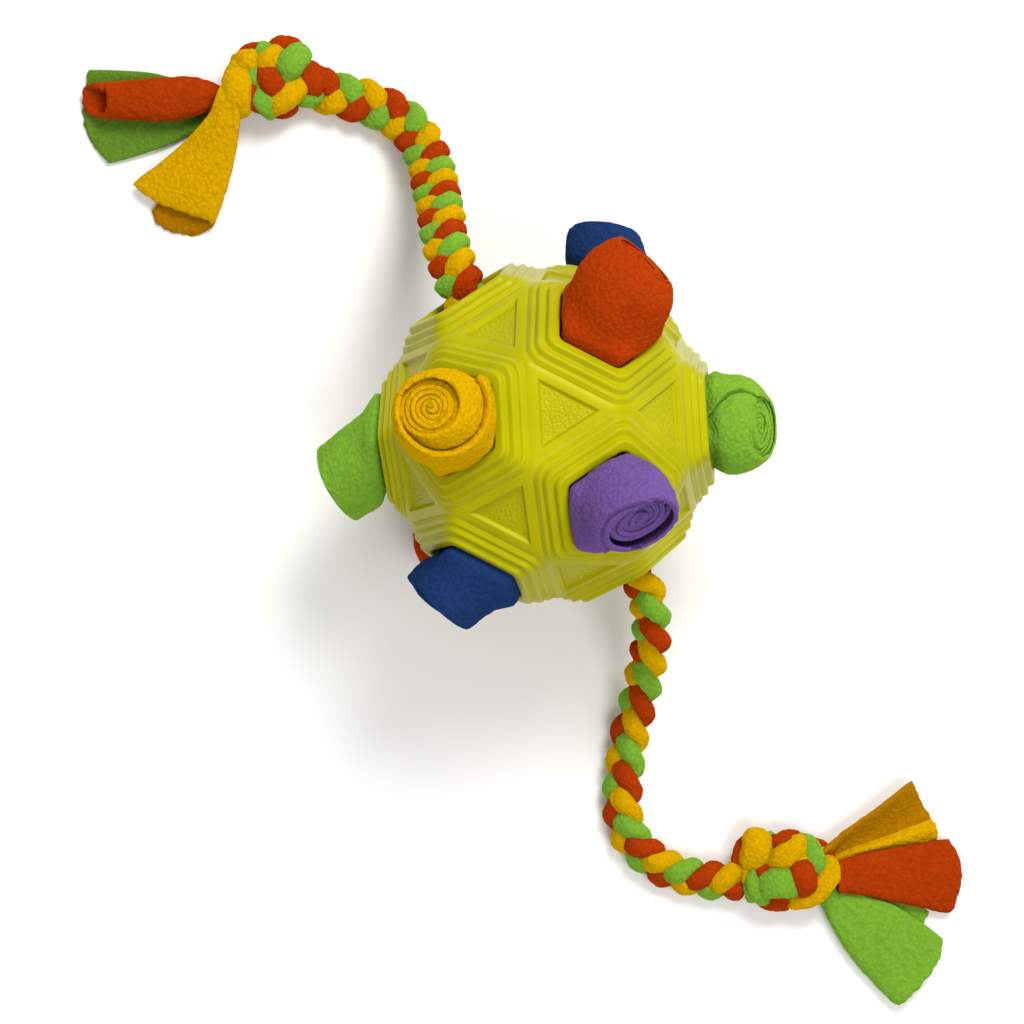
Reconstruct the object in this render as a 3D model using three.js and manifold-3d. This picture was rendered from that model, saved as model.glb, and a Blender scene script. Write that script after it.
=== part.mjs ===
// A dog snuffle ball: a hollow rubber ball with twelve five-sided holes. Ten holes each hold a
// rolled-up fleece strip, and a rope braided from three fleece strips runs through the other two
// and is knotted at both ends, with the strips' loose ends beyond the knots. The ball lies on a
// floor on three of its rolls, and the rope's two halves come down to the floor beside it.
// Units are millimetres and +Z is up. Every point below is measured from the ball's centre,
// except the heights of the loose ends, which are measured from the floor.

import * as THREE from 'three';
import { ConvexGeometry } from 'three/addons/geometries/ConvexGeometry.js';
import { mergeVertices } from 'three/addons/utils/BufferGeometryUtils.js';
import Module from 'manifold-3d';

const wasm = await Module();
wasm.setup();

// The ball's moulding
const CORE_RADIUS = 56.5; // centre to the corners of the three-cornered faces
const WALL = 3.6;
const HOLE_APOTHEM = 14.9; // middle of a hole to the middle of its side
const RIM_APOTHEM = 18.6; // the same for the outside of the top step of the frame round a hole
const RIM_HEIGHT = 6.2; // above the core
const STEPS = [ // the frame's two lower steps
  { apothem: 22.6, height: 2.0 },
  { apothem: 20.6, height: 4.1 },
];
const STEP_SLOPE = 0.6; // how far a step's wall leans in from its foot to its top
const POCKET_APOTHEM = 16.4; // the hollow behind a frame
const SHARP_APOTHEM = 7; // a five-sided outline of this size would have sharp corners
const CORNER_SHARE = 0.32; // each corner's radius is this share of what its outline is larger
const FRAME_SIDES = 10;
const PANEL_INRADIUS = 6.4; // sunk three-cornered panel
const PANEL_DEPTH = 1.2;
const PANEL_BEVEL = 0.7;

// How the ball lies
const CENTRE_HEIGHT = 68;
const BALL_LEAN = 3.5; // degrees from standing square on its three lower rolls
const LEAN_AZIMUTH = 60;

// The rolls
const ROLL_INNER = 30; // ball's centre to a roll's inner end
const ROLL_NECK = 15.3; // radius where a roll is squeezed by its hole
const FIT_GAP = 0.35;
const ROLL_SIDES = 22;
const LAP = 2.2; // the strip's outer end stands this much proud of the turn beneath
const ROLLS = [
  // name, colour, ring and azimuth of its hole; middle of its outer end; where that end faces; radius of the
  // roll and of its inner turns; how deep the inner turns are sunk; azimuth of the strip's outer end
  { name: 'yellow_top', colour: 'yellow', ring: 'top', azimuth: 183, x: -38.0, y: 1.2, z: 67,
    polar: 16, facing: 200, radius: 16.6, core: 9.8, sunk: 2.4, seam: 20 },
  { name: 'orange_top', colour: 'orange', ring: 'top', azimuth: 63, x: 26.6, y: 53.4, z: 49,
    polar: 66, facing: 64, radius: 15.8, core: 9.2, sunk: 2.0, seam: 250 },
  { name: 'purple_top', colour: 'purple', ring: 'top', azimuth: 303, x: 28.7, y: -35.1, z: 60,
    polar: 48, facing: 298, radius: 16.2, core: 10.2, sunk: 2.6, seam: 120 },
  { name: 'green_right', colour: 'green', ring: 'upper', azimuth: 3, x: 70.8, y: 1.4, z: 17,
    polar: 64, facing: 358, radius: 16.6, core: 10.4, sunk: 1.6, seam: 140 },
  { name: 'blue_front', colour: 'blue', ring: 'upper', azimuth: 243, x: -39.9, y: -57.9, z: 14,
    polar: 86, facing: 221, radius: 14.9, core: 9.0, sunk: 1.8, seam: 90 },
  { name: 'green_left', colour: 'green', ring: 'lower', azimuth: 183, x: -71.7, y: -17.8, z: -10,
    polar: 92, facing: 208, radius: 15.2, core: 9.4, sunk: 2.2, seam: 200 },
  { name: 'blue_back', colour: 'blue', ring: 'lower', azimuth: 63, x: 20.6, y: 74.1, z: -18,
    polar: 95, facing: 84, radius: 15.0, core: 9.2, sunk: 2.0, seam: 60 },
  { name: 'yellow_under', colour: 'yellow', ring: 'bottom', azimuth: 3, x: 48.5, y: -2, z: -59.6,
    polar: 128, facing: 0, radius: 15.4, core: 9.4, sunk: 2.0, seam: 70 },
  { name: 'orange_under', colour: 'orange', ring: 'bottom', azimuth: 243, x: -41, y: -40, z: -59,
    polar: 124, facing: 203, radius: 15.6, core: 9.2, sunk: 2.0, seam: 300 },
  { name: 'purple_under', colour: 'purple', ring: 'bottom', azimuth: 123, x: -29, y: 39, z: -60.4,
    polar: 132, facing: 124, radius: 15.2, core: 9.4, sunk: 2.0, seam: 10 },
];

// The rope: three strands that pass from side to side and over one another
const STRAND_RADIUS = 3.9;
const BRAID_HALF_WIDTH = 4.3; // how far a strand's middle swings sideways
const BRAID_HALF_HEIGHT = 2.2; // and up and down
const BRAID_PERIOD = 26.5;
const ROPE_SIDES = 14;
const ROPE_STEP = 2.9;
const INSIDE_STEP = 8; // the stretch inside the ball is left plain
const INSIDE_RADIUS = 6.4;
const ROPE_END = 47; // ball's centre to where each free half begins
const ROPE_STRAIGHT = 4; // a free half leaves its hole straight for this far
const ROPE_LEAST = 3.1; // the braid's middle is never thinner than this
const UPPER_ROUTE = [
  [-31.0, 53.0, 2.5], [-34.3, 64.1, -8.0], [-36.0, 76.4, -22.0], [-37.7, 87.4, -36.5], [-39.7, 98.1, -49.0],
  [-43.5, 108.3, -57.0], [-49.9, 116.4, -61.0], [-58.7, 121.4, -62.0], [-68.8, 124.6, -62.0], [-77.7, 127.1, -61.6],
  [-85.9, 129.4, -60.6],
];
const LOWER_ROUTE = [
  [33.1, -52.3, -11.0], [35.7, -61.8, -18.5], [36.3, -71.5, -29.2], [35.3, -80.9, -41.8], [33.9, -91.0, -52.0],
  [31.5, -101.1, -58.0], [29.8, -111.5, -59.7], [28.5, -122.2, -59.8], [28.7, -132.1, -60.0], [32.6, -141.6, -60.6],
  [40.3, -148.9, -61.4], [50.7, -153.6, -61.8], [60.3, -155.4, -61.6], [69.9, -155.4, -60.4],
];
const UPPER_TURNS = { start: -30, end: -5 }; // degrees the braid's flat side is turned about the rope
const LOWER_TURNS = { start: 52, end: 40 };

// An overhand knot: the rope's way through it, from its entry at u = -1 to its exit at u = 1.
// A knot's azimuth is the way the rope runs through it.
const KNOT_WAY = [
  { u: -1.02, v: 0.0, w: -0.2 }, { u: -0.45, v: -0.3, w: -0.35 }, { u: 0.3, v: -0.62, w: -0.1 },
  { u: 0.72, v: -0.1, w: 0.4 }, { u: 0.3, v: 0.55, w: 0.42 }, { u: -0.35, v: 0.5, w: 0.3 },
  { u: -0.7, v: -0.1, w: 0.38 }, { u: -0.35, v: -0.62, w: 0.12 }, { u: 0.25, v: -0.15, w: -0.4 },
  { u: 0.7, v: 0.35, w: -0.35 }, { u: 1.02, v: 0.1, w: -0.1 },
];
const KNOT_DETAIL = 5;
const KNOT_STRAND = 3.6;
const KNOT_SQUEEZE = 0.8; // the braid is pulled tighter inside a knot
const KNOTS = [
  { name: 'knot_upper', x: -98.6, y: 130.7, height: 10.2, azimuth: 172, length: 11.1, width: 12.4, depth: 11.5 },
  { name: 'knot_lower', x: 86.0, y: -151.4, height: 10.2, azimuth: 4, length: 15.5, width: 12.4, depth: 11.5 },
];

// The loose ends: fleece of this thickness, each carried along its own line in a folded section.
// Across is a share of the width, and reach is how far that part of the cut end stands forward.
const FLEECE = 2.0;
const SHEET_ROWS = 5;
const SHEET_POINTS = 11;
const SHEETS = [
  {
    name: 'tail_upper_yellow', colour: 'yellow', rootWidth: 10.6, endWidth: 31.0, rootArch: 3, endArch: 0.4,
    line: [[-111.0, 129.4, 14.5], [-113.8, 119.2, 12], [-122.3, 103.3, 5.5], [-130.3, 83.5, 0.1]],
    section: [
      { across: -0.5, height: 4.2, reach: 0 }, { across: -0.17, height: 5.4, reach: 1.8 },
      { across: 0.24, height: 5.6, reach: 0 }, { across: 0.47, height: 4.9, reach: 0.9 },
      { across: 0.5, height: 3.1, reach: 1.8 }, { across: 0.42, height: 1.2, reach: 3.5 },
      { across: 0.2, height: 1.1, reach: 6.6 }, { across: -0.13, height: 1.1, reach: 5.9 },
    ],
  },
  {
    name: 'tail_upper_orange', colour: 'orange', rootWidth: 8.0, endWidth: 13.3, rootArch: 0, endArch: 0,
    line: [[-112.8, 123.3, 3.6], [-121.2, 124.5, 3.6], [-139.8, 123.7, 3.6], [-160.2, 122.5, 3.4]],
    section: [
      { across: -0.34, height: 9.2, reach: -5.3 }, { across: -0.47, height: 6.6, reach: -1.8 },
      { across: -0.46, height: 3.2, reach: 2.7 }, { across: -0.2, height: 1.3, reach: 3.5 },
      { across: 0.2, height: 1.2, reach: 2.7 }, { across: 0.47, height: 3.4, reach: -1.8 },
      { across: 0.46, height: 7.6, reach: -5.3 }, { across: 0.14, height: 9.8, reach: -6.2 },
      { across: -0.16, height: 10.6, reach: -6.2 },
    ],
  },
  {
    name: 'tail_upper_green', colour: 'green', rootWidth: 8.8, endWidth: 34.5, rootArch: 0.6, endArch: 0.2,
    line: [[-112.4, 121.7, 0.1], [-123.4, 119.4, 0.1], [-139.3, 117.1, 0.1], [-158.7, 116.1, 0.1]],
    section: [
      { across: -0.5, height: 1.8, reach: 0 }, { across: -0.25, height: 1.2, reach: 2.7 },
      { across: 0.05, height: 1.1, reach: 4.4 }, { across: 0.3, height: 1.3, reach: 0.9 },
      { across: 0.5, height: 1.9, reach: -3.5 },
    ],
  },
  {
    name: 'tail_lower_yellow', colour: 'yellow', rootWidth: 6.2, endWidth: 17.7, rootArch: 0, endArch: 0,
    line: [[102.3, -143.0, 5], [108.7, -138.7, 2.6], [121.0, -133.6, 0.6], [134.3, -128.3, 0.1]],
    section: [
      { across: 0.5, height: 7.2, reach: 0 }, { across: 0.26, height: 3.6, reach: 0 },
      { across: 0.0, height: 1.7, reach: 0 }, { across: -0.2, height: 2.4, reach: 1.8 },
      { across: -0.32, height: 4.0, reach: 2.7 }, { across: -0.42, height: 3.0, reach: 1.8 },
      { across: -0.5, height: 1.6, reach: 0 },
    ],
  },
  {
    name: 'tail_lower_orange', colour: 'orange', rootWidth: 8.0, endWidth: 24.8, rootArch: 2, endArch: 0.8,
    line: [[105.0, -152.8, 5.5], [114.6, -152.0, 3.4], [130.3, -152.5, 1], [146.2, -153.5, 0.1]],
    section: [
      { across: 0.44, height: 5.0, reach: -2.7 }, { across: 0.15, height: 5.9, reach: 0.9 },
      { across: -0.2, height: 5.9, reach: 0.9 }, { across: -0.47, height: 5.0, reach: -2.7 },
      { across: -0.5, height: 3.1, reach: -3.5 }, { across: -0.44, height: 1.3, reach: -3.5 },
      { across: 0.0, height: 1.1, reach: 0 }, { across: 0.46, height: 1.2, reach: -4.4 },
    ],
  },
  {
    name: 'tail_lower_green', colour: 'green', rootWidth: 8.0, endWidth: 31.9, rootArch: 0, endArch: 0.8,
    line: [[102.8, -162.4, 1.4], [109.2, -167.2, 0.8], [120.2, -175.7, 0.2], [132.4, -185.2, 0.1]],
    section: [
      { across: 0.34, height: 4.8, reach: -0.9 }, { across: 0.0, height: 5.8, reach: 0.9 },
      { across: -0.46, height: 4.9, reach: 2.7 }, { across: -0.5, height: 3.1, reach: 1.8 },
      { across: -0.44, height: 1.2, reach: 0 }, { across: 0.0, height: 1.1, reach: -0.9 },
      { across: 0.42, height: 1.3, reach: -6.2 },
    ],
  },
];

const COLOURS = {
  yellow: 0xe0b010,
  orange: 0xc8461a,
  purple: 0x6a4a9a,
  green: 0x7cba3c,
  blue: 0x24477f,
  braid: 0xa8862a, // the three rope colours together
};
const RUBBER = new THREE.MeshStandardMaterial({ color: 0xc4c812, roughness: 0.32, metalness: 0 });
const FLEECES = {};
for (const [colour, value] of Object.entries(COLOURS)) {
  FLEECES[colour] = new THREE.MeshStandardMaterial({ color: value, roughness: 0.95, metalness: 0 });
}

const UP = new THREE.Vector3(0, 0, 1);
const rad = THREE.MathUtils.degToRad;
const lerp = THREE.MathUtils.lerp;

function direction(polar, azimuth) {
  return new THREE.Vector3().setFromSphericalCoords(1, polar, 0).set(
    Math.sin(polar) * Math.cos(azimuth),
    Math.sin(polar) * Math.sin(azimuth),
    Math.cos(polar),
  );
}

// The twelve holes face the corners of a regular icosahedron that stands on one of its faces
const STEEP = Math.acos(Math.sqrt((5 + 2 * Math.sqrt(5)) / 15));
const SHALLOW = Math.acos(Math.sqrt((5 - 2 * Math.sqrt(5)) / 15));
const RINGS = { top: STEEP, upper: SHALLOW, lower: Math.PI - SHALLOW, bottom: Math.PI - STEEP };
const leanTurn = new THREE.Quaternion().setFromAxisAngle(
  direction(Math.PI / 2, rad(LEAN_AZIMUTH + 90)),
  rad(BALL_LEAN),
);

function holeAxis(ring, azimuth) {
  return direction(RINGS[ring], rad(azimuth)).applyQuaternion(leanTurn);
}

const ROPE_AXIS = holeAxis('upper', 123);
const HOLE_AXES = ROLLS.map((roll) => holeAxis(roll.ring, roll.azimuth));
HOLE_AXES.push(ROPE_AXIS, ROPE_AXIS.clone().negate());

const NEIGHBOUR = 0.4; // holes next to one another have axes whose dot product is above this
const CORNER_AXES = [];
const FACE_AXES = [];
for (let i = 0; i < HOLE_AXES.length; i += 1) {
  for (let j = i + 1; j < HOLE_AXES.length; j += 1) {
    if (HOLE_AXES[i].dot(HOLE_AXES[j]) < NEIGHBOUR) continue;
    CORNER_AXES.push(HOLE_AXES[i].clone().add(HOLE_AXES[j]).normalize());
    for (let k = j + 1; k < HOLE_AXES.length; k += 1) {
      const joined = HOLE_AXES[i].dot(HOLE_AXES[k]) > NEIGHBOUR && HOLE_AXES[j].dot(HOLE_AXES[k]) > NEIGHBOUR;
      if (joined) FACE_AXES.push(HOLE_AXES[i].clone().add(HOLE_AXES[j]).add(HOLE_AXES[k]).normalize());
    }
  }
}
const HOLE_PLANE = CORNER_AXES[0].dot(HOLE_AXES[0]); // of a core with corners at distance 1
const FACE_PLANE = CORNER_AXES[0].dot(FACE_AXES.find((axis) => axis.dot(CORNER_AXES[0]) > 0.9));
const HOLE_LEVEL = CORE_RADIUS * HOLE_PLANE;
const FACE_LEVEL = CORE_RADIUS * FACE_PLANE;
const RIM_LEVEL = HOLE_LEVEL + RIM_HEIGHT;

// Solids and meshes

function bare(geometry) {
  const copy = geometry.clone();
  copy.deleteAttribute('normal');
  copy.deleteAttribute('uv');
  return mergeVertices(copy, 1e-4);
}

function toSolid(geometry) {
  const merged = bare(geometry);
  return new wasm.Manifold(new wasm.Mesh({
    numProp: 3,
    vertProperties: Float32Array.from(merged.attributes.position.array),
    triVerts: Uint32Array.from(merged.index.array),
  }));
}

function toGeometry(solid) {
  const mesh = solid.getMesh();
  const geometry = new THREE.BufferGeometry();
  geometry.setAttribute('position', new THREE.BufferAttribute(Float32Array.from(mesh.vertProperties), 3));
  geometry.setIndex(new THREE.BufferAttribute(Uint32Array.from(mesh.triVerts), 1));
  return geometry;
}

function movePoints(geometry, rule) {
  const position = geometry.attributes.position;
  const point = new THREE.Vector3();
  for (let i = 0; i < position.count; i += 1) {
    point.fromBufferAttribute(position, i);
    const moved = rule(point);
    position.setXYZ(i, moved.x, moved.y, moved.z);
  }
  return geometry;
}

function aboveFloor(point) {
  return point.setZ(Math.max(point.z, -CENTRE_HEIGHT));
}

// A frame of axes whose z is the given axis and whose x leans towards the given point
function axesAlong(axis, towards) {
  const x = towards.clone().addScaledVector(axis, -axis.dot(towards)).normalize();
  const y = new THREE.Vector3().crossVectors(axis, x);
  return new THREE.Matrix4().makeBasis(x, y, axis);
}

function nearest(axis, choices) {
  return choices.reduce((best, next) => (next.dot(axis) > best.dot(axis) ? next : best));
}

// The ball

// One of the ten points of a five-sided outline with cut corners
function outlinePoint(apothem, index) {
  const corner = CORNER_SHARE * (apothem - SHARP_APOTHEM);
  const cornerMiddle = (apothem - corner) / Math.cos(Math.PI / 5);
  const towards = (2 * Math.PI * Math.floor(index / 2)) / 5;
  const angle = towards + (Math.PI / 5) * (index % 2 === 0 ? -1 : 1);
  return new THREE.Vector2(
    cornerMiddle * Math.cos(towards) + corner * Math.cos(angle),
    cornerMiddle * Math.sin(towards) + corner * Math.sin(angle),
  );
}

// The frame round a hole, from the core's wall up over its steps and down inside the hole
function frameRing() {
  const foot = HOLE_LEVEL - WALL + 0.5;
  const rows = [[POCKET_APOTHEM, foot]];
  let level = foot;
  for (const { apothem, height } of [...STEPS, { apothem: RIM_APOTHEM, height: RIM_HEIGHT }]) {
    rows.push([apothem, level], [apothem - STEP_SLOPE, HOLE_LEVEL + height]);
    level = HOLE_LEVEL + height;
  }
  rows.push([HOLE_APOTHEM, RIM_LEVEL], [HOLE_APOTHEM, RIM_LEVEL - WALL], [POCKET_APOTHEM, RIM_LEVEL - WALL]);
  rows.push(rows[0]);
  const profile = rows.map(([apothem, height]) => new THREE.Vector2(apothem, height));
  return movePoints(bare(new THREE.LatheGeometry(profile, FRAME_SIDES)), (point) => {
    const apothem = Math.hypot(point.x, point.z);
    const turn = THREE.MathUtils.euclideanModulo(Math.atan2(point.x, point.z) / (2 * Math.PI), 1);
    const corner = outlinePoint(apothem, Math.round(turn * FRAME_SIDES) % FRAME_SIDES);
    return point.set(corner.x, corner.y, point.y);
  });
}

// A straight five-sided hole cut through the core, its corners towards the core's own
function coreOpening() {
  const apothem = (POCKET_APOTHEM + RIM_APOTHEM) / 2 + 1;
  const opening = new THREE.CylinderGeometry(1, 1, 1, 5).scale(apothem, HOLE_LEVEL, apothem);
  opening.scale(1 / Math.cos(Math.PI / 5), 1, 1 / Math.cos(Math.PI / 5));
  return opening.rotateY(Math.PI / 2).rotateX(Math.PI / 2).translate(0, 0, HOLE_LEVEL);
}

function panelCutter() {
  const height = 3;
  const outer = (PANEL_INRADIUS + PANEL_BEVEL * (height / PANEL_DEPTH - 1)) * 2;
  const inner = (PANEL_INRADIUS - PANEL_BEVEL) * 2;
  const geometry = new THREE.CylinderGeometry(outer, inner, height, 3);
  geometry.rotateY(Math.PI / 2).rotateX(Math.PI / 2);
  return geometry.translate(0, 0, FACE_LEVEL - PANEL_DEPTH + height / 2);
}

function coreSolid(radius) {
  return toSolid(new ConvexGeometry(CORNER_AXES.map((axis) => axis.clone().multiplyScalar(radius))));
}

function ballShell() {
  let shell = coreSolid(CORE_RADIUS).subtract(coreSolid(CORE_RADIUS - WALL / FACE_PLANE));
  const poses = HOLE_AXES.map((axis) => axesAlong(axis, nearest(axis, CORNER_AXES)));
  for (const pose of poses) shell = shell.subtract(toSolid(coreOpening().applyMatrix4(pose)));
  for (const pose of poses) shell = shell.add(toSolid(frameRing().applyMatrix4(pose)));
  for (const axis of FACE_AXES) {
    shell = shell.subtract(toSolid(panelCutter().applyMatrix4(axesAlong(axis, nearest(axis, CORNER_AXES)))));
  }
  return toGeometry(shell);
}

// A rolled strip: turned as a profile, then bent out of its hole and lapped at the strip's outer end

function rollProfile(roll, length) {
  const { radius, core, sunk } = roll;
  const rim = RIM_LEVEL - ROLL_INNER;
  const rows = [
    [0, 0], [ROLL_NECK - 2.5, 0], [ROLL_NECK, rim], [radius, rim + (length - rim) * 0.35],
    [radius, length - 3], [radius - 1.5, length - 0.3], [core + 1.6, length - 0.8], [core + 0.8, length - 5],
    [core - 0.8, length - sunk - 0.3], [0, length - sunk + 0.3],
  ];
  return rows.map(([across, along]) => new THREE.Vector2(across, along));
}

function rollGeometry(roll) {
  const axis = holeAxis(roll.ring, roll.azimuth);
  const end = new THREE.Vector3(roll.x, roll.y, roll.z);
  const faces = direction(rad(roll.polar), rad(roll.facing));
  const start = axis.clone().multiplyScalar(ROLL_INNER);
  const middle = new THREE.CubicBezierCurve3(
    start,
    axis.clone().multiplyScalar(RIM_LEVEL - 3),
    end.clone().addScaledVector(faces, -end.distanceTo(start) / 4),
    end,
  );
  const length = middle.getLength();
  const reference = Math.abs(axis.z) > 0.95 ? new THREE.Vector3(1, 0, 0) : UP;
  const turned = bare(new THREE.LatheGeometry(rollProfile(roll, length), ROLL_SIDES));
  const seam = rad(roll.seam);
  return movePoints(turned, (point) => {
    const share = THREE.MathUtils.clamp(point.y / length, 0, 1);
    const tangent = middle.getTangentAt(share);
    const side = new THREE.Vector3().crossVectors(reference, tangent).normalize();
    const upward = new THREE.Vector3().crossVectors(tangent, side);
    const angle = Math.atan2(point.z, point.x);
    const past = THREE.MathUtils.euclideanModulo(angle - seam, 2 * Math.PI) / (2 * Math.PI);
    const flat = Math.hypot(point.x, point.z);
    const away = flat > roll.core + 2 ? flat - LAP * past : flat;
    return aboveFloor(middle.getPointAt(share)
      .addScaledVector(side, away * Math.cos(angle))
      .addScaledVector(upward, -away * Math.sin(angle)));
  });
}

// What a roll may not reach: the frame round its hole
function frameCutter(axis) {
  const plate = new THREE.Shape().absarc(0, 0, 34, 0, 2 * Math.PI);
  const hole = new THREE.Path();
  for (let i = 0; i < FRAME_SIDES; i += 1) {
    const { x, y } = outlinePoint(HOLE_APOTHEM - FIT_GAP, i);
    if (i === 0) hole.moveTo(x, y);
    else hole.lineTo(x, y);
  }
  plate.holes.push(hole);
  const low = HOLE_LEVEL - 4;
  const geometry = new THREE.ExtrudeGeometry(plate, {
    depth: RIM_LEVEL + FIT_GAP - low,
    bevelEnabled: false,
    curveSegments: 8,
  });
  geometry.translate(0, 0, low);
  return geometry.applyMatrix4(axesAlong(axis, nearest(axis, CORNER_AXES)));
}

function rollMesh(roll) {
  const axis = holeAxis(roll.ring, roll.azimuth);
  const solid = toSolid(rollGeometry(roll)).subtract(toSolid(frameCutter(axis)));
  const place = axis.clone().multiplyScalar(HOLE_LEVEL);
  return placed(`roll_${roll.name}`, toGeometry(solid), FLEECES[roll.colour], place);
}

// The braid

function strandMiddle(strand, along) {
  const phase = (2 * Math.PI * along) / BRAID_PERIOD + (2 * Math.PI * strand) / 3;
  return new THREE.Vector2(BRAID_HALF_WIDTH * Math.sin(phase), BRAID_HALF_HEIGHT * Math.sin(2 * phase));
}

// How far the braid reaches from its middle line, in the direction of one angle of its section
function braidReach(along, angle) {
  let reach = ROPE_LEAST;
  for (let strand = 0; strand < 3; strand += 1) {
    const middle = strandMiddle(strand, along);
    const ahead = middle.x * Math.cos(angle) + middle.y * Math.sin(angle);
    const aside = middle.x * Math.sin(angle) - middle.y * Math.cos(angle);
    if (Math.abs(aside) < STRAND_RADIUS) {
      reach = Math.max(reach, ahead + Math.sqrt(STRAND_RADIUS ** 2 - aside ** 2));
    }
  }
  return reach;
}

function sideways(tangent) {
  return new THREE.Vector3().crossVectors(UP, tangent).normalize();
}

function tubeAlong(path, radius, sides, steps) {
  const circle = new THREE.Shape();
  for (let i = 0; i < sides; i += 1) {
    const angle = (2 * Math.PI * i) / sides;
    const x = radius * Math.cos(angle);
    const y = radius * Math.sin(angle);
    if (i === 0) circle.moveTo(x, y);
    else circle.lineTo(x, y);
  }
  return bare(new THREE.ExtrudeGeometry(circle, { steps, bevelEnabled: false, extrudePath: path }));
}

function ropeGeometry(route, turns) {
  const path = new THREE.CatmullRomCurve3(route);
  const length = path.getLength();
  const steps = Math.round(length / ROPE_STEP);
  const middles = path.getSpacedPoints(steps);
  return movePoints(tubeAlong(path, STRAND_RADIUS, ROPE_SIDES, steps), (point) => {
    let ring = 0;
    for (let i = 1; i <= steps; i += 1) {
      if (middles[i].distanceToSquared(point) < middles[ring].distanceToSquared(point)) ring = i;
    }
    const share = ring / steps;
    const tangent = path.getTangentAt(share);
    const side = sideways(tangent);
    const upward = new THREE.Vector3().crossVectors(tangent, side);
    const spoke = point.clone().sub(middles[ring]);
    const turned = rad(lerp(turns.start, turns.end, share));
    const reach = braidReach(share * length, Math.atan2(spoke.dot(upward), spoke.dot(side)) - turned);
    return aboveFloor(middles[ring].clone().addScaledVector(spoke.normalize(), reach));
  });
}

function freeRoute(axis, points) {
  const straight = [ROPE_END, ROPE_END + ROPE_STRAIGHT].map((along) => axis.clone().multiplyScalar(along));
  return [...straight, ...points.map(([x, y, z]) => new THREE.Vector3(x, y, z))];
}

// A knot: the points of a ball pushed out to the braid that winds through it

function knotAxes(knot) {
  const ahead = direction(Math.PI / 2, rad(knot.azimuth));
  return { ahead, left: new THREE.Vector3().crossVectors(UP, ahead) };
}

function knotMiddle(knot) {
  return new THREE.Vector3(knot.x, knot.y, knot.height - CENTRE_HEIGHT);
}

function knotBeads(knot) {
  const { ahead, left } = knotAxes(knot);
  const way = new THREE.CatmullRomCurve3(KNOT_WAY.map(({ u, v, w }) => new THREE.Vector3()
    .addScaledVector(ahead, u * knot.length)
    .addScaledVector(left, v * knot.width)
    .addScaledVector(UP, w * knot.depth)));
  const beads = [];
  const count = 70;
  for (let i = 0; i <= count; i += 1) {
    const tangent = way.getTangentAt(i / count);
    const side = sideways(tangent);
    const upward = new THREE.Vector3().crossVectors(tangent, side);
    for (let strand = 0; strand < 3; strand += 1) {
      const offset = strandMiddle(strand, (way.getLength() * i) / count).multiplyScalar(KNOT_SQUEEZE);
      beads.push(way.getPointAt(i / count).addScaledVector(side, offset.x).addScaledVector(upward, offset.y));
    }
  }
  return beads;
}

function knotGeometry(knot, swell = 0) {
  const beads = knotBeads(knot);
  const middle = knotMiddle(knot);
  const radius = KNOT_STRAND + swell;
  return movePoints(bare(new THREE.IcosahedronGeometry(1, KNOT_DETAIL)), (point) => {
    const spoke = point.clone().normalize();
    let reach = radius;
    for (const bead of beads) {
      const ahead = bead.dot(spoke);
      const asideSquared = bead.lengthSq() - ahead ** 2;
      if (asideSquared < radius ** 2) reach = Math.max(reach, ahead + Math.sqrt(radius ** 2 - asideSquared));
    }
    return aboveFloor(spoke.multiplyScalar(reach).add(middle));
  });
}

// A slab that cuts a knot flat where the rope meets it
function slabBefore(point, tangent) {
  const slab = new THREE.BoxGeometry(60, 60, 40);
  slab.translate(0, 0, -20 + FIT_GAP);
  return slab.applyMatrix4(axesAlong(tangent, UP).setPosition(point));
}

// A loose end: a thin folded section, wider and flatter towards the strip's cut end

function sectionOutline(sheet, share) {
  const width = lerp(sheet.rootWidth, sheet.endWidth, THREE.MathUtils.smoothstep(share, -0.4, 1.1));
  const arch = lerp(sheet.rootArch, sheet.endArch, share);
  const middle = new THREE.SplineCurve(sheet.section.map(({ across, height }) => new THREE.Vector2(
    across * width,
    height + arch * (1 - 4 * across * across),
  )));
  const reaches = sheet.section.map(({ reach }) => reach * share);
  const above = [];
  const below = [];
  for (let i = 0; i <= SHEET_POINTS; i += 1) {
    const along = i / SHEET_POINTS;
    const point = middle.getPoint(along);
    const tangent = middle.getTangent(along);
    const place = along * (reaches.length - 1);
    const before = Math.min(Math.floor(place), reaches.length - 2);
    const reach = lerp(reaches[before], reaches[before + 1], place - before);
    above.push({ x: point.x - (tangent.y * FLEECE) / 2, y: point.y + (tangent.x * FLEECE) / 2, reach });
    below.unshift({ x: point.x + (tangent.y * FLEECE) / 2, y: point.y - (tangent.x * FLEECE) / 2, reach });
  }
  return [...above, ...below];
}

function sheetGeometry(sheet) {
  const end = sectionOutline(sheet, 1);
  const shape = new THREE.Shape(end.map(({ x, y }) => new THREE.Vector2(x, y)));
  const slab = bare(new THREE.ExtrudeGeometry(shape, { depth: 1, steps: SHEET_ROWS, bevelEnabled: false }));
  const line = new THREE.CatmullRomCurve3(
    sheet.line.map(([x, y, height]) => new THREE.Vector3(x, y, height - CENTRE_HEIGHT)),
  );
  return movePoints(slab, (point) => {
    const share = Math.round(point.z * SHEET_ROWS) / SHEET_ROWS;
    const distances = end.map((corner) => Math.hypot(corner.x - point.x, corner.y - point.y));
    const corner = sectionOutline(sheet, share)[distances.indexOf(Math.min(...distances))];
    const tangent = line.getTangentAt(share).setZ(0).normalize();
    return aboveFloor(line.getPointAt(share)
      .addScaledVector(sideways(tangent), corner.x)
      .addScaledVector(UP, corner.y)
      .addScaledVector(tangent, corner.reach));
  });
}

function placed(name, geometry, material, place) {
  geometry.translate(-place.x, -place.y, -place.z);
  geometry.computeVertexNormals();
  const mesh = new THREE.Mesh(geometry, material);
  mesh.name = name;
  mesh.position.copy(place);
  return mesh;
}

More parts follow.
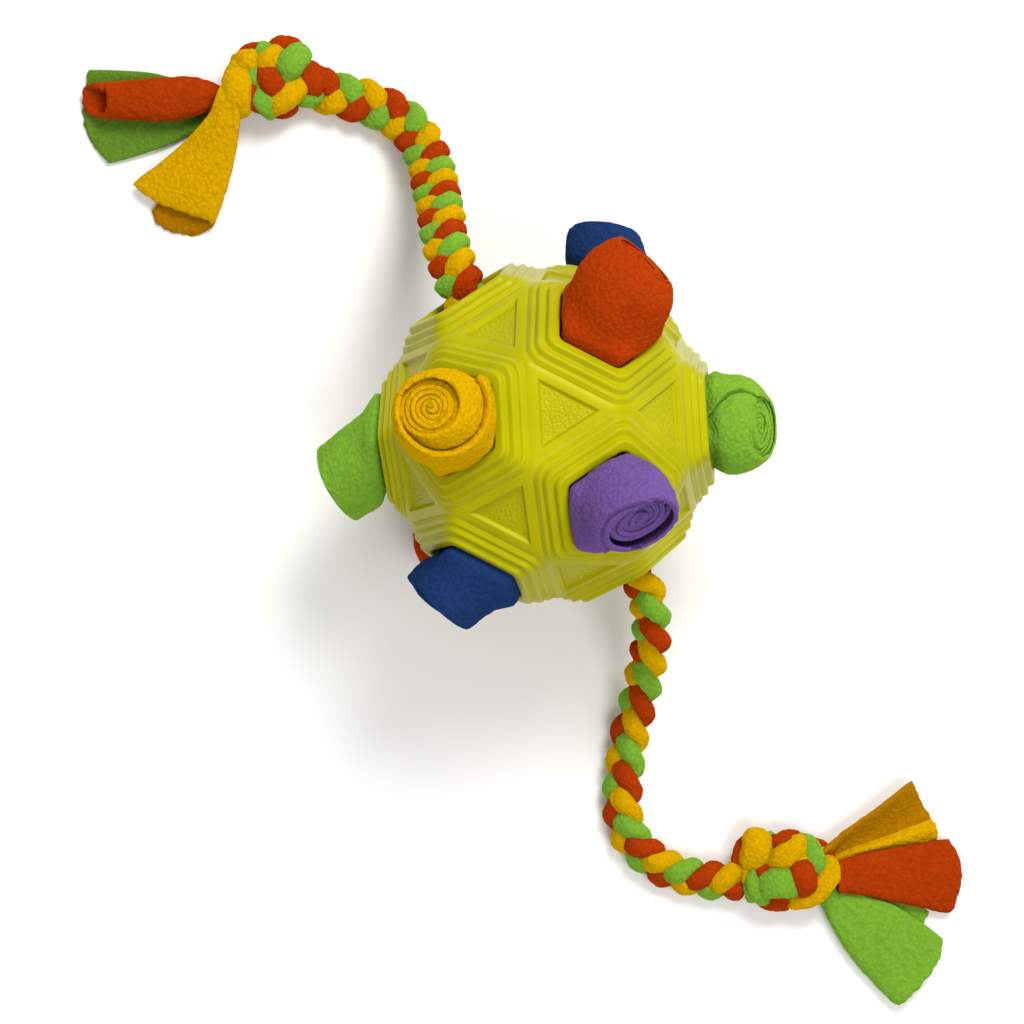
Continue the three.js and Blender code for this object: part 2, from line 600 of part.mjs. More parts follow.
// The whole object: the ball's group is set down so that the floor is at z = 0 and the middle of
// the ball and its rolls, seen from above, is over the origin

const ball = new THREE.Group();
ball.add(placed('ball_shell', ballShell(), RUBBER, new THREE.Vector3()));
for (const roll of ROLLS) ball.add(rollMesh(roll));

const rope = new THREE.Group();
const routes = {
  upper: freeRoute(ROPE_AXIS, UPPER_ROUTE),
  lower: freeRoute(ROPE_AXIS.clone().negate(), LOWER_ROUTE),
};
const insideEnds = [-1, 1].map((side) => ROPE_AXIS.clone().multiplyScalar(side * (ROPE_END - FIT_GAP)));
const insideSteps = Math.round((2 * ROPE_END) / INSIDE_STEP);
const insideTube = tubeAlong(new THREE.LineCurve3(...insideEnds), INSIDE_RADIUS, ROPE_SIDES, insideSteps);
rope.add(placed('rope_upper', ropeGeometry(routes.upper, UPPER_TURNS), FLEECES.braid, routes.upper[0]));
rope.add(placed('rope_lower', ropeGeometry(routes.lower, LOWER_TURNS), FLEECES.braid, routes.lower[0]));
rope.add(placed('rope_inside', insideTube, FLEECES.braid, new THREE.Vector3()));

for (const knot of KNOTS) {
  const half = knot.name.replace('knot_', '');
  const path = new THREE.CatmullRomCurve3(routes[half]);
  const slab = toSolid(slabBefore(path.getPointAt(1), path.getTangentAt(1)));
  const solid = toSolid(knotGeometry(knot)).subtract(slab);
  rope.add(placed(knot.name, toGeometry(solid), FLEECES.braid, knotMiddle(knot)));
  const clearance = toSolid(knotGeometry(knot, 2 * FIT_GAP));
  for (const sheet of SHEETS.filter(({ name }) => name.includes(half))) {
    const trimmed = toSolid(sheetGeometry(sheet)).subtract(clearance);
    const [x, y, height] = sheet.line[sheet.line.length - 1];
    const place = new THREE.Vector3(x, y, height - CENTRE_HEIGHT);
    rope.add(placed(sheet.name, toGeometry(trimmed), FLEECES[sheet.colour], place));
  }
}

const snuffleBall = new THREE.Group();
snuffleBall.add(ball, rope);
snuffleBall.updateMatrixWorld(true);
const box = new THREE.Box3().setFromObject(ball, true);
const middle = box.getCenter(new THREE.Vector3());
snuffleBall.position.set(-middle.x, -middle.y, CENTRE_HEIGHT);
snuffleBall.updateMatrixWorld(true);

export default snuffleBall;
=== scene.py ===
"""A dog snuffle ball: a hollow rubber ball whose five-sided holes hold rolled fleece strips, on a
rope braided from three more strips, knotted at both ends. Lengths are in metres, +Z is up."""

import math

import bpy
from mathutils import Matrix, Vector, noise


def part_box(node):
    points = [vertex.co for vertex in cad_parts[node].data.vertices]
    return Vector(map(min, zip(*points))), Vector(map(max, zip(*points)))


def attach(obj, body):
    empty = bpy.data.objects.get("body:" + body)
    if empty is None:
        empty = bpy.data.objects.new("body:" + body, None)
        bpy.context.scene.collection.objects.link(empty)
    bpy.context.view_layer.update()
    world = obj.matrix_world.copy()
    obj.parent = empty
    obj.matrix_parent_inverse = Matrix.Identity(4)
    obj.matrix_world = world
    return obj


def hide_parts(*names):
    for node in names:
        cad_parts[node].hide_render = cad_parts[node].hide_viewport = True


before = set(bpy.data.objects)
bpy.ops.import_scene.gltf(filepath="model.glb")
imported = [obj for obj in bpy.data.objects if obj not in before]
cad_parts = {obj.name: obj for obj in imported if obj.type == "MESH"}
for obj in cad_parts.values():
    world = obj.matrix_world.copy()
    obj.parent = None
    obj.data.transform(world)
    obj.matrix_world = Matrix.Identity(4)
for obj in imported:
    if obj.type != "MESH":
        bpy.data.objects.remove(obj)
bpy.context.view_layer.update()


# Where the toy was photographed: a long lens looks down from 90 cm above the ball's middle, on a
# plain pale table top, in soft light that comes mostly from the picture's upper right.
ball_low, ball_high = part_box("ball_shell")
ball_middle = (ball_low + ball_high) / 2
table_level = -ball_middle.z
table_half = 3
table_drop = 0.0002  # keeps the table's face clear of those that rest on it
lamp_size = 0.5

camera = bpy.data.objects.new("photo_camera", bpy.data.cameras.new("photo_camera"))
bpy.context.scene.collection.objects.link(camera)
camera.location = ball_middle + Vector((-0.0346, -0.0626, 0.9016))
camera.rotation_euler = (math.radians(2.286), math.radians(-1.424), math.radians(-0.039))
camera.data.sensor_width = 36
camera.data.lens = 94.9
camera.data.clip_start = 0.01
bpy.context.scene.camera = camera
bpy.context.scene.view_settings.view_transform = "Standard"


def new_finish(name, roughness):
    """A material and its main shader."""
    finish = bpy.data.materials.new(name)
    finish.use_nodes = True
    shader = finish.node_tree.nodes["Principled BSDF"]
    shader.inputs["Roughness"].default_value = roughness
    return finish, shader


table = bpy.data.meshes.new("table_top")
table_corners = [(x * table_half, y * table_half, 0) for x, y in ((-1, -1), (1, -1), (1, 1), (-1, 1))]
table.from_pydata(table_corners, [], [(0, 1, 2, 3)])
table_top = bpy.data.objects.new("table_top", table)
table_top.location.z = -table_drop
bpy.context.scene.collection.objects.link(table_top)
table_paint, table_shader = new_finish("pale_table", 0.7)
table_shader.inputs["Base Color"].default_value = (0.92, 0.92, 0.91, 1)
table.materials.append(table_paint)

room = bpy.data.worlds.new("white_studio")
room.use_nodes = True
room.node_tree.nodes["Background"].inputs["Color"].default_value = (1.0, 0.99, 0.97, 1)
room.node_tree.nodes["Background"].inputs["Strength"].default_value = 0.5
bpy.context.scene.world = room


def soft_box(name, place, watts):
    """A square lamp that faces the ball's middle from a place measured from there."""
    lamp = bpy.data.lights.new(name, "AREA")
    lamp.size = lamp_size
    lamp.energy = watts
    lamp_object = bpy.data.objects.new(name, lamp)
    lamp_object.location = ball_middle + Vector(place)
    lamp_object.rotation_euler = (-Vector(place)).to_track_quat("-Z", "Y").to_euler()
    bpy.context.scene.collection.objects.link(lamp_object)


soft_box("upper_right_light", (0.25, 0.65, 0.95), 12.5)
soft_box("lower_right_light", (0.3, -0.45, 1.0), 5.5)


# Polar fleece: a knitted polyester cloth brushed into a short dense pile that pills into soft
# nubs. Each strip is dyed one plain colour, with painted light on the nubs and painted shade between them.
nub_size = 0.0014
hair_size = 0.0005
worn_patch = 0.013


def mottle(finish, scale, detail, roughness=0.5):
    """A cloudy pattern of so many patches to the metre."""
    nodes, links = finish.node_tree.nodes, finish.node_tree.links
    texture = nodes.new("ShaderNodeTexNoise")
    texture.inputs["Scale"].default_value = scale
    texture.inputs["Detail"].default_value = detail
    texture.inputs["Roughness"].default_value = roughness
    links.new(nodes.new("ShaderNodeTexCoord").outputs["Object"], texture.inputs["Vector"])
    return texture.outputs["Fac"]


def pebbles(finish, scale, smoothness):
    """Close-set rounded pebbles, so many to the metre: 0 at a pebble's middle, more towards its edge."""
    nodes, links = finish.node_tree.nodes, finish.node_tree.links
    texture = nodes.new("ShaderNodeTexVoronoi")
    texture.feature = "SMOOTH_F1"
    texture.inputs["Scale"].default_value = scale
    texture.inputs["Smoothness"].default_value = smoothness
    links.new(nodes.new("ShaderNodeTexCoord").outputs["Object"], texture.inputs["Vector"])
    return texture.outputs["Distance"]


def tone(finish, pattern, low, high, low_colour, high_colour):
    """Colours a pattern, from one colour at its low value to another at its high one."""
    ramp = finish.node_tree.nodes.new("ShaderNodeValToRGB")
    stops = ramp.color_ramp.elements
    stops[0].position, stops[1].position = low, high
    stops[0].color, stops[1].color = (*low_colour, 1), (*high_colour, 1)
    finish.node_tree.links.new(pattern, ramp.inputs["Fac"])
    return ramp.outputs["Color"]


def times(finish, one, other):
    product = finish.node_tree.nodes.new("ShaderNodeMix")
    product.data_type = "RGBA"
    product.blend_type = "MULTIPLY"
    product.inputs["Factor"].default_value = 1
    finish.node_tree.links.new(one, product.inputs["A"])
    finish.node_tree.links.new(other, product.inputs["B"])
    return product.outputs["Result"]


def relief(finish, pattern, strength, depth, sunk_where_high=False, under=None):
    """Raises the surface by a pattern, on top of any relief given as under."""
    nodes, links = finish.node_tree.nodes, finish.node_tree.links
    bump = nodes.new("ShaderNodeBump")
    bump.invert = sunk_where_high
    bump.inputs["Strength"].default_value = strength
    bump.inputs["Distance"].default_value = depth
    links.new(pattern, bump.inputs["Height"])
    if under:
        links.new(under, bump.inputs["Normal"])
    links.new(bump.outputs["Normal"], nodes["Principled BSDF"].inputs["Normal"])
    return bump.outputs["Normal"]


def polar_fleece(name, colour):
    cloth, shader = new_finish(name, 1)
    shader.inputs["Specular IOR Level"].default_value = 0
    shader.inputs["Sheen Weight"].default_value = 0.12
    shader.inputs["Sheen Roughness"].default_value = 0.5
    shader.inputs["Sheen Tint"].default_value = (*[min(1, channel * 1.6) for channel in colour], 1)
    shader.inputs["Subsurface Weight"].default_value = 0.35
    shader.inputs["Subsurface Scale"].default_value = 0.002
    shader.inputs["Subsurface Radius"].default_value = [channel / max(colour) for channel in colour]
    nubs = pebbles(cloth, 1 / nub_size, 0.6)
    hairs = mottle(cloth, 1 / hair_size, 3, 0.7)
    patches = mottle(cloth, 1 / worn_patch, 2)
    # Painted light and shade: the nubs' middles a little lighter, the hollows between them a little darker.
    nub_painted_light = [channel * 1.07 for channel in colour]
    between = [channel * 0.88 for channel in colour]
    pile = tone(cloth, nubs, 0.2, 0.75, nub_painted_light, between)
    tips = tone(cloth, hairs, 0.35, 0.65, (0.9, 0.9, 0.9), (1.06, 1.06, 1.06))
    worn = tone(cloth, patches, 0.25, 0.75, (0.93, 0.93, 0.93), (1, 1, 1))
    paint = times(cloth, times(cloth, pile, tips), worn)
    cloth.node_tree.links.new(paint, shader.inputs["Base Color"])
    nubby = relief(cloth, nubs, 0.9, 0.0005, sunk_where_high=True)
    relief(cloth, hairs, 0.7, 0.0002, under=nubby)
    return cloth


def nub_height(spot):
    """How far the pile stands proud of the cloth at a spot: soft lumps about 2 mm and 1 mm wide."""
    return 0.00034 * noise.noise(spot * 430) + 0.0002 * noise.noise(spot * 900)


fleece = {
    "yellow": polar_fleece("yellow_pile", (0.58, 0.325, 0.0012)),
    "orange": polar_fleece("orange_pile", (0.37, 0.038, 0.0025)),
    "green": polar_fleece("green_pile", (0.175, 0.365, 0.03)),
    "blue": polar_fleece("blue_pile", (0.012, 0.036, 0.125)),
    "purple": polar_fleece("purple_pile", (0.142, 0.076, 0.265)),
}
# Darker copies of the yellow and green cloths: painted shade, put on loose ends that lie in shadow or turn
# away from the light.
fleece_painted_shade = {
    "yellow": polar_fleece("yellow_painted_shade", (0.37, 0.16, 0.001)),
    "green": polar_fleece("green_painted_shade", (0.112, 0.225, 0.021)),
}


# The rope: three fleece strips plaited flat, so that each in turn comes up at the middle and runs
# out to the edge. Each half leaves its hole, comes down beside the ball and lies on the table.
strand_half_width = 0.0043
strand_half_thickness = 0.0035
strand_sides = 30
strand_boxiness = 0.8  # the power of a strand's rounding: 1 is an oval, less is fuller at the corners
plait_swing = 0.0040
plait_rise = 0.0022
plait_length = 0.0265  # from one place of a strand to where it repeats
line_spacing = 0.0007
inside_spacing = 0.0015
span_steps = 24


def distances(line):
    """How far each point of a line lies along it."""
    travelled = [0.0]
    for before, after in zip(line, line[1:]):
        travelled.append(travelled[-1] + (after - before).length)
    return travelled


def smooth_line(points, spacing):
    """Evenly spaced points on one smooth line through the given ones."""
    points = [Vector(point) for point in points]
    reach = [0.0]
    for before, after in zip(points, points[1:]):
        reach.append(reach[-1] + math.sqrt((after - before).length))
    slopes = []
    for i in range(len(points)):
        a, b = max(i - 1, 0), min(i + 1, len(points) - 1)
        if a == i or b == i:
            slopes.append((points[b] - points[a]) / (reach[b] - reach[a]))
            continue
        back = (points[i] - points[a]) / (reach[i] - reach[a])
        forth = (points[b] - points[i]) / (reach[b] - reach[i])
        weighted = back * (reach[b] - reach[i]) + forth * (reach[i] - reach[a])
        slopes.append(weighted / (reach[b] - reach[a]))
    fine = []
    for i in range(len(points) - 1):
        span = reach[i + 1] - reach[i]
        for step in range(span_steps):
            t = step / span_steps
            fine.append(
                points[i] * (2 * t**3 - 3 * t**2 + 1)
                + slopes[i] * span * (t**3 - 2 * t**2 + t)
                + points[i + 1] * (3 * t**2 - 2 * t**3)
                + slopes[i + 1] * span * (t**3 - t**2)
            )
    fine.append(points[-1])
    travelled = distances(fine)
    steps = max(2, round(travelled[-1] / spacing))
    even, k = [], 0
    for step in range(steps + 1):
        along = travelled[-1] * step / steps
        while k < len(fine) - 2 and travelled[k + 1] < along:
            k += 1
        share = (along - travelled[k]) / max(travelled[k + 1] - travelled[k], 1e-9)
        even.append(fine[k].lerp(fine[k + 1], min(share, 1)))
    return even


def eased(values, share):
    """A value between evenly spaced ones, on a smooth curve."""
    place = min(max(share, 0), 1) * (len(values) - 1)
    i = min(int(place), len(values) - 2)
    t = place - i
    a, b = values[i], values[i + 1]
    before, after = values[max(i - 1, 0)], values[min(i + 2, len(values) - 1)]
    bend = (2 * before - 5 * a + 4 * b - after) * t + (3 * a - before - 3 * b + after) * t * t
    return a + t * (b - before + bend) / 2


def tangent_at(line, i):
    return (line[min(i + 1, len(line) - 1)] - line[max(i - 1, 0)]).normalized()


def above_table(point):
    return Vector((point.x, point.y, max(point.z, table_level)))


def ring_faces(first, rows, ring):
    """The faces between rows of points that each close round in a ring, from a first point on."""
    faces = []
    for row in range(rows - 1):
        for k in range(ring):
            a, b = first + row * ring + k, first + row * ring + (k + 1) % ring
            faces.append((a, b, b + ring, a + ring))
    return faces


def skin_strand(vertices, faces, middles, across, half_width, fullness):
    """Adds one strand's skin: a flattened tube along its middles, each as full as its share says."""
    half_thickness = half_width * strand_half_thickness / strand_half_width
    first = len(vertices)
    for i, middle in enumerate(middles):
        ahead = tangent_at(middles, i)
        left = (across[i] - ahead * across[i].dot(ahead)).normalized()
        up = ahead.cross(left)
        for side in range(strand_sides):
            c = math.cos(2 * math.pi * side / strand_sides)
            d = math.sin(2 * math.pi * side / strand_sides)
            spoke = left * (half_width * math.copysign(abs(c) ** strand_boxiness, c))
            spoke += up * (half_thickness * math.copysign(abs(d) ** strand_boxiness, d))
            spoke *= fullness[i]
            spot = middle + spoke
            uneven = 0.07 * noise.noise(spot * 170)
            spot += spoke * uneven + spoke.normalized() * nub_height(spot)
            vertices.append(ball_middle + above_table(spot))
    faces += ring_faces(first, len(middles), strand_sides)
    faces.append(tuple(reversed(range(first, first + strand_sides))))
    faces.append(tuple(range(len(vertices) - strand_sides, len(vertices))))


def plaited_strands(line, first_turn, last_turn, periods, start, squeeze):
    """Vertices, faces and strand numbers of three strands plaited along a line.

    The plait's flat side turns about the line from first_turn to last_turn, in degrees. periods are the
    lengths of its full cycle, evenly spaced from the line's start to its end."""
    vertices, faces, strands = [], [], []
    phases = [start]
    for i in range(1, len(line)):
        period = eased(periods, i / (len(line) - 1))
        phases.append(phases[-1] + (line[i] - line[i - 1]).length / period)
    for strand in range(3):
        middles, across = [], []
        for i, point in enumerate(line):
            ahead = tangent_at(line, i)
            left = Vector((0, 0, 1)).cross(ahead).normalized()
            turn = math.radians(first_turn + (last_turn - first_turn) * i / len(line))
            left.rotate(Matrix.Rotation(turn, 3, ahead))
            phase = 2 * math.pi * (phases[i] + strand / 3)
            swing = squeeze * plait_swing * math.sin(phase)
            rise = squeeze * plait_rise * math.sin(2 * phase)
            middles.append(point + left * swing + ahead.cross(left) * rise)
            across.append(left)
        fullness = [0.3 + 0.7 * squeeze] * len(middles)
        skin_strand(vertices, faces, middles, across, strand_half_width, fullness)
        strands += [strand] * (len(faces) - len(strands))
    return vertices, faces, strands


def new_piece(name, vertices, faces, finishes, finish_numbers=None):
    mesh = bpy.data.meshes.new(name)
    mesh.from_pydata(vertices, [], faces)
    for finish in finishes:
        mesh.materials.append(finish)
    mesh.polygons.foreach_set("use_smooth", [True] * len(mesh.polygons))
    if finish_numbers:
        mesh.polygons.foreach_set("material_index", finish_numbers)
    piece = bpy.data.objects.new(name, mesh)
    bpy.context.scene.collection.objects.link(piece)
    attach(piece, "root")
    return piece


def braided_piece(name, node, vertices, faces, colours, strands):
    piece = new_piece(name, vertices, faces, [fleece[colour] for colour in colours], strands)
    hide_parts(node)
    return piece


def rope_stretch(name, node, line, first_turn, last_turn, periods, colours, start=0.0, squeeze=1.0):
    vertices, faces, strands = plaited_strands(line, first_turn, last_turn, periods, start, squeeze)
    return braided_piece(name, node, vertices, faces, colours, strands)


rope_leaves = Vector((-0.02478, 0.03923, 0.00747))
rope_straight = rope_leaves * (51 / 47)  # the hole's mouth lies 47 mm out, the first bend 51 mm
upper_route = [
    rope_leaves, rope_straight,
    (-0.031, 0.053, 0.0025), (-0.0343, 0.0641, -0.008), (-0.036, 0.0764, -0.022),
    (-0.0377, 0.0874, -0.0365), (-0.0397, 0.0981, -0.049), (-0.0435, 0.1083, -0.057),
    (-0.0499, 0.1164, -0.061), (-0.0587, 0.1214, -0.062), (-0.0688, 0.1246, -0.062),
    (-0.0777, 0.1271, -0.0616), (-0.0859, 0.1294, -0.0606),
]
lower_route = [
    -rope_leaves, -rope_straight,
    (0.0331, -0.0523, -0.011), (0.0357, -0.0618, -0.0185), (0.0363, -0.0715, -0.0292),
    (0.0353, -0.0809, -0.0418), (0.0339, -0.091, -0.052), (0.0315, -0.1011, -0.058),
    (0.0298, -0.1115, -0.0597), (0.0285, -0.1222, -0.0598), (0.0287, -0.1321, -0.06),
    (0.0326, -0.1416, -0.0606), (0.0403, -0.1489, -0.0614), (0.0507, -0.1536, -0.0618),
    (0.0603, -0.1554, -0.0616), (0.0699, -0.1554, -0.0604),
]
upper_line = smooth_line(upper_route, line_spacing)
lower_line = smooth_line(lower_route, line_spacing)
inside_line = smooth_line([-rope_leaves, Vector((0, 0, 0)), rope_leaves], inside_spacing)
upper_rope = rope_stretch(
    "upper_rope", "rope_upper", upper_line, -35, -5, [plait_length, plait_length],
    ["yellow", "orange", "green"],
)
lower_rope = rope_stretch(
    "lower_rope", "rope_lower", lower_line, 68, 50,
    [0.0252, 0.033, 0.041, 0.033, 0.027, 0.0256, 0.0256],
    ["orange", "green", "yellow"], 0.09, 0.92,
)
rope_stretch(
    "rope_in_the_ball", "rope_inside", inside_line, 68, -35, [plait_length, plait_length],
    ["yellow", "orange", "green"], 0.13, 0.8,
)


# The knots: the rope is tied in a plain overhand knot close to each end and pulled tight, which
# makes a lumpy ball of its strands a third thicker than the rope is wide.
knot_way = [  # ahead, left and up, in shares of the knot's length, width and depth
    (-1.02, 0.0, -0.2), (-0.45, -0.3, -0.35), (0.3, -0.62, -0.1), (0.72, -0.1, 0.4), (0.3, 0.55, 0.42),
    (-0.35, 0.5, 0.3), (-0.7, -0.1, 0.38), (-0.35, -0.62, 0.12), (0.25, -0.15, -0.4), (0.7, 0.35, -0.35),
    (1.02, 0.1, -0.1),
]


def overhand_knot(place, middle, azimuth, length, width, depth, colours, start, bends):
    """bends are the strands' fat bends that show on top: colour, half the width, and the way each takes."""
    ahead = Vector((math.cos(math.radians(azimuth)), math.sin(math.radians(azimuth)), 0))
    left = Vector((0, 0, 1)).cross(ahead)
    way = [
        Vector(middle) + ahead * (u * length) + left * (v * width) + Vector((0, 0, w * depth))
        for u, v, w in knot_way
    ]
    line = smooth_line(way, line_spacing)
    vertices, faces, strands = plaited_strands(line, 0, 0, [plait_length, plait_length], start, 0.8)
    for colour, half_width, bend_way in bends:
        line = smooth_line(bend_way, line_spacing)
        across = [Vector((0, 0, 1)).cross(tangent_at(line, i)) for i in range(len(line))]
        from_middle = [abs(2 * i / (len(line) - 1) - 1) for i in range(len(line))]
        fullness = [0.2 + 0.8 * (1 - far**3.5) ** 0.5 for far in from_middle]
        skin_strand(vertices, faces, line, across, half_width, fullness)
        strands += [colours.index(colour)] * (len(faces) - len(strands))
    return braided_piece(place + "_knot", "knot_" + place, vertices, faces, colours, strands)


upper_bends = [
    ("orange", 0.0034, [(-0.1087, 0.1377, -0.06), (-0.1033, 0.1403, -0.0585), (-0.0966, 0.1407, -0.06)]),
    ("green", 0.0032, [(-0.0993, 0.1352, -0.058), (-0.0994, 0.1384, -0.0545), (-0.0979, 0.1431, -0.058)]),
    ("orange", 0.0036, [(-0.098, 0.1407, -0.06), (-0.0914, 0.1424, -0.056), (-0.0855, 0.14, -0.06)]),
    ("yellow", 0.004, [(-0.1014, 0.133, -0.058), (-0.0972, 0.1359, -0.0528), (-0.0921, 0.1408, -0.057)]),
    ("green", 0.005, [(-0.085, 0.1417, -0.058), (-0.0894, 0.1348, -0.0525), (-0.0942, 0.13, -0.057)]),
    ("yellow", 0.004, [(-0.11, 0.1351, -0.058), (-0.1047, 0.1364, -0.0535), (-0.1, 0.1366, -0.058)]),
    ("orange", 0.0043, [(-0.1, 0.135, -0.057), (-0.0964, 0.1286, -0.052), (-0.0942, 0.1235, -0.057)]),
    ("orange", 0.0028, [(-0.1057, 0.1335, -0.057), (-0.1022, 0.1304, -0.054), (-0.0985, 0.1278, -0.057)]),
    ("yellow", 0.0054, [(-0.1078, 0.1357, -0.057), (-0.1085, 0.1248, -0.053), (-0.1075, 0.1164, -0.058)]),
    ("green", 0.0038, [(-0.1028, 0.1278, -0.057), (-0.0994, 0.1218, -0.054), (-0.095, 0.1174, -0.059)]),
    ("yellow", 0.0043, [(-0.0978, 0.1193, -0.0575), (-0.0908, 0.1233, -0.054), (-0.0843, 0.1309, -0.058)]),
    ("orange", 0.0033, [(-0.0973, 0.1207, -0.061), (-0.0926, 0.1198, -0.06), (-0.0877, 0.1223, -0.062)]),
    ("orange", 0.0044, [(-0.0841, 0.1364, -0.06), (-0.0821, 0.1299, -0.0565), (-0.0823, 0.1241, -0.06)]),
]
lower_bends = [
    ("orange", 0.003, [(0.0702, -0.1529, -0.059), (0.0705, -0.1451, -0.058), (0.074, -0.1397, -0.061)]),
    ("yellow", 0.0052, [(0.0736, -0.1507, -0.058), (0.0753, -0.1433, -0.0535), (0.0763, -0.1377, -0.059)]),
    ("green", 0.0028, [(0.0803, -0.1382, -0.06), (0.0806, -0.1425, -0.0565), (0.0802, -0.1487, -0.059)]),
    ("orange", 0.0035, [(0.0817, -0.1446, -0.06), (0.0857, -0.1408, -0.057), (0.0915, -0.1404, -0.061)]),
    ("yellow", 0.0042, [(0.0806, -0.151, -0.057), (0.0861, -0.1453, -0.0523), (0.094, -0.1409, -0.058)]),
    ("green", 0.0037, [(0.0903, -0.1403, -0.06), (0.0951, -0.1439, -0.056), (0.0973, -0.1516, -0.059)]),
    ("orange", 0.0046, [(0.0899, -0.1472, -0.057), (0.0917, -0.1527, -0.052), (0.0942, -0.16, -0.058)]),
    ("green", 0.0054, [(0.0768, -0.1563, -0.0575), (0.0829, -0.1555, -0.0523), (0.0906, -0.1563, -0.057)]),
    ("orange", 0.0028, [(0.0747, -0.1507, -0.058), (0.0784, -0.1506, -0.056), (0.0825, -0.1508, -0.058)]),
    ("orange", 0.0038, [(0.0761, -0.1602, -0.061), (0.0816, -0.1622, -0.0595), (0.0887, -0.1632, -0.062)]),
    ("yellow", 0.0042, [(0.0861, -0.1631, -0.061), (0.0948, -0.1602, -0.057),
                       (0.101, -0.1537, -0.055), (0.1021, -0.1467, -0.06)]),
    ("green", 0.003, [(0.0738, -0.1515, -0.059), (0.0743, -0.157, -0.0575), (0.0746, -0.163, -0.061)]),
]
upper_knot = overhand_knot(
    "upper", (-0.0986, 0.1307, -0.0594), 172, 0.0098, 0.0104, 0.008,
    ["orange", "yellow", "green"], 0.46, upper_bends,
)
lower_knot = overhand_knot(
    "lower", (0.086, -0.1514, -0.0594), 4, 0.0142, 0.0106, 0.008,
    ["yellow", "orange", "green"], 0.7, lower_bends,
)


# The loose ends: beyond each knot the three strips spread out to their full width, each in its
# own fold or curl, and were cut off square with scissors. They lie on the table and on one another.
cloth_thickness = 0.0019
row_spacing = 0.0009
height_weight = 40  # lets a fold's heights, in metres, count beside its shares of the width
fold_spacing = 0.024
cut_thins = (0.35, 0.85)  # how thin the cloth gets in the outermost rows of its cut end
side_thins = (0.3, 0.8)  # and of its two sides


def loose_end(place, colour, line, widths, rises, section, back=None):
    """A strip along a line of (x, y, height over the table) points, from the knot to its cut end.

    widths, and rises, which multiply the section's heights, are evenly spaced along it. A section's row
    says how far across, as a share of the width, how high, and how far the cut stands forward. back is
    the share of the section, from and to, that is painted in the cloth's darker copy, as painted shade."""
    middle = smooth_line([(x, y, height + table_level) for x, y, height in line], row_spacing)
    rows = len(middle) - 1
    fold = [(across, height * height_weight, reach * height_weight) for across, height, reach in section]
    fold = smooth_line(fold, fold_spacing)
    columns = len(fold)
    vertices, faces = [], []
    for i, point in enumerate(middle):
        share = i / rows
        width, rise = eased(widths, share), eased(rises, share)
        ahead = Vector((*tangent_at(middle, i).xy, 0)).normalized()
        left = Vector((0, 0, 1)).cross(ahead)
        outline = [Vector((p.x * width, p.y / height_weight * rise)) for p in fold]
        from_cut = rows - i
        thin_end = cut_thins[from_cut] if from_cut < 2 else 1
        for face in (1, -1):
            for k, p in enumerate(outline):
                before, after = outline[max(k - 1, 0)], outline[min(k + 1, columns - 1)]
                outward = Vector((before.y - after.y, after.x - before.x)).normalized()
                from_side = min(k, columns - 1 - k)
                thin = thin_end * (side_thins[from_side] if from_side < 2 else 1)
                p = p + outward * (face * thin * cloth_thickness / 2)
                reach = ahead * (fold[k].z / height_weight * share)
                spot = point + left * p.x + Vector((0, 0, p.y)) + reach
                ripple = 0.0012 * share * noise.noise(Vector((spot.x, spot.y, 0.3)) * 65)
                fray = 0.0007 * noise.noise(spot * 420) if from_cut == 0 else 0
                lump = (left * outward.x + Vector((0, 0, outward.y))) * (face * nub_height(spot) * thin)
                spot = spot + lump + Vector((0, 0, ripple)) + ahead * fray
                vertices.append(ball_middle + above_table(spot))
    row = 2 * columns  # the upper face's points, then the lower face's
    for i in range(rows):
        for k in range(columns - 1):
            top, bottom = i * row + k, i * row + columns + k
            faces.append((top, top + row, top + row + 1, top + 1))
            faces.append((bottom, bottom + 1, bottom + row + 1, bottom + row))
        for k in (0, columns - 1):
            top, bottom = i * row + k, i * row + columns + k
            side = (top, bottom, bottom + row, top + row)
            faces.append(side if k == 0 else side[::-1])
    for i in (0, rows):
        for k in range(columns - 1):
            top, bottom = i * row + k, i * row + columns + k
            side = (top, top + 1, bottom + 1, bottom)
            faces.append(side if i == 0 else side[::-1])
    cloths, painted_shade_numbers = [fleece[colour]], [0] * len(faces)
    # back marks the share of the section painted in the darker copy, as painted shade.
    if back:
        cloths.append(fleece_painted_shade[colour])
        painted_shade_numbers = [int(back[0] <= face[0] % columns / columns < back[1]) for face in faces]
    piece = new_piece(f"{place}_{colour}_end", vertices, faces, cloths, painted_shade_numbers)
    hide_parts(f"tail_{place}_{colour}")
    return piece
